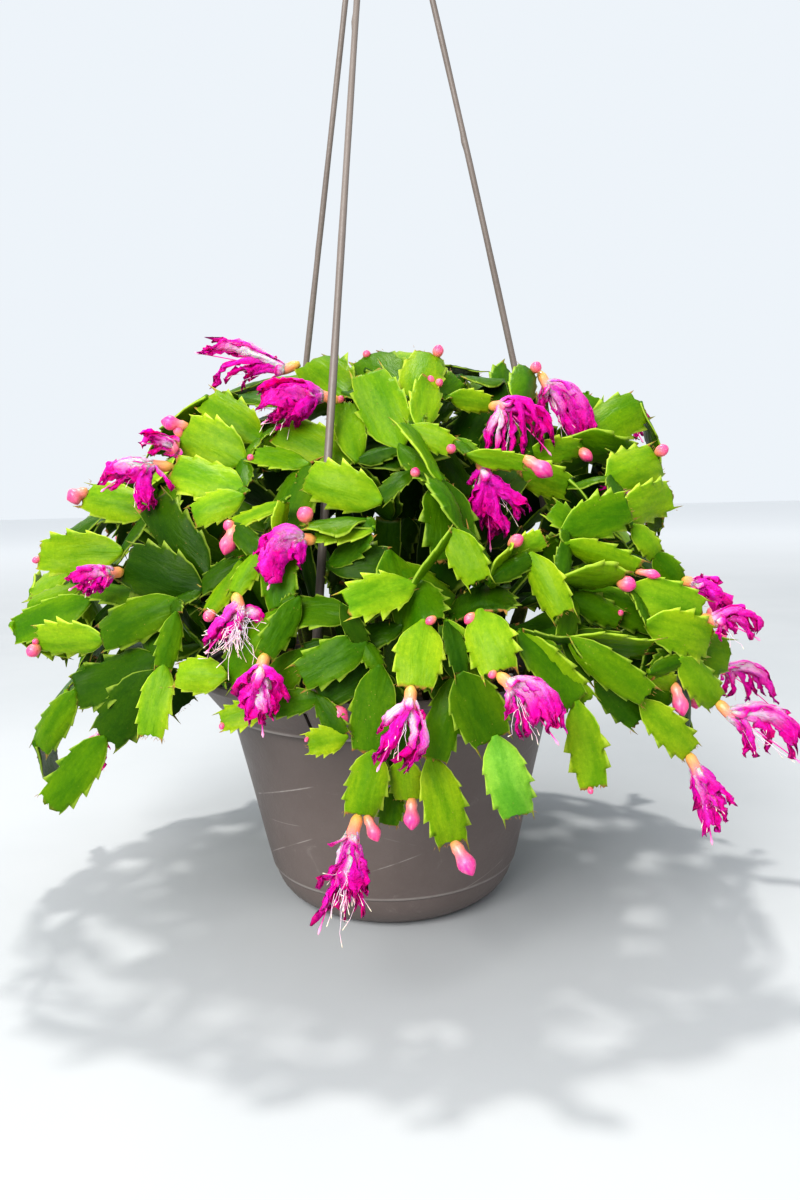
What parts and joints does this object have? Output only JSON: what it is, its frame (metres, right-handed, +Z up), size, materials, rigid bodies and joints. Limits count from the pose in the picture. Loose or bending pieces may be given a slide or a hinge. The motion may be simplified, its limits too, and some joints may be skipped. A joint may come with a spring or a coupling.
{
  "type": "christmas cactus hanging basket",
  "caption": "Flowering Christmas cactus with flat jointed stems, buds and magenta blooms, spilling over a tapered plastic hanging basket with a moulded three-strand hanger.",
  "frame": {"origin": "centre of the basket's flat underside, where it rests on a table", "axes": "+Z up through the basket and the hanger's hook, -Y toward the front of the picture, +X to its right"},
  "size_m": [0.391, 0.3323, 0.598],
  "materials": {
    "pot_plastic": "taupe-brown moulded plastic, satin, with fine scuffs",
    "hanger_plastic": "taupe-brown moulded plastic strands, satin",
    "potting_mix": "dark crumbly potting mix, rough",
    "cactus_skin": "waxy green succulent skin, lime on young segments and dark on old ones",
    "petal": "thin silky magenta petals with white throats"
  },
  "bodies": {
    "root": {"flower_01": "petal", "flower_02": "petal", "flower_03": "petal", "flower_04": "petal", "flower_05": "petal", "flower_06": "petal", "flower_07": "petal", "flower_08": "petal", "flower_09": "petal", "flower_10": "petal", "flower_11": "petal", "flower_12": "petal", "flower_13": "petal", "flower_14": "petal", "flower_15": "petal", "flower_16": "petal", "flower_17": "petal", "flower_18": "petal", "flower_19": "petal", "flower_20": "petal", "flower_21": "petal", "flower_22": "petal", "flower_23": "petal", "flower_24": "petal", "flower_25": "petal", "flower_26": "petal", "flower_27": "petal", "hanger": "hanger_plastic", "pot": "pot_plastic", "soil": "potting_mix", "stem_01": "cactus_skin", "stem_02": "cactus_skin", "stem_03": "cactus_skin", "stem_04": "cactus_skin", "stem_05": "cactus_skin", "stem_06": "cactus_skin", "stem_07": "cactus_skin", "stem_08": "cactus_skin", "stem_09": "cactus_skin", "stem_10": "cactus_skin", "stem_11": "cactus_skin", "stem_12": "cactus_skin", "stem_13": "cactus_skin", "stem_14": "cactus_skin", "stem_15": "cactus_skin", "stem_16": "cactus_skin", "stem_17": "cactus_skin", "stem_18": "cactus_skin", "stem_19": "cactus_skin", "stem_20": "cactus_skin", "stem_21": "cactus_skin", "stem_22": "cactus_skin", "stem_23": "cactus_skin", "stem_24": "cactus_skin", "stem_25": "cactus_skin", "stem_26": "cactus_skin", "stem_27": "cactus_skin", "stem_28": "cactus_skin"}
  },
  "joints": []
}
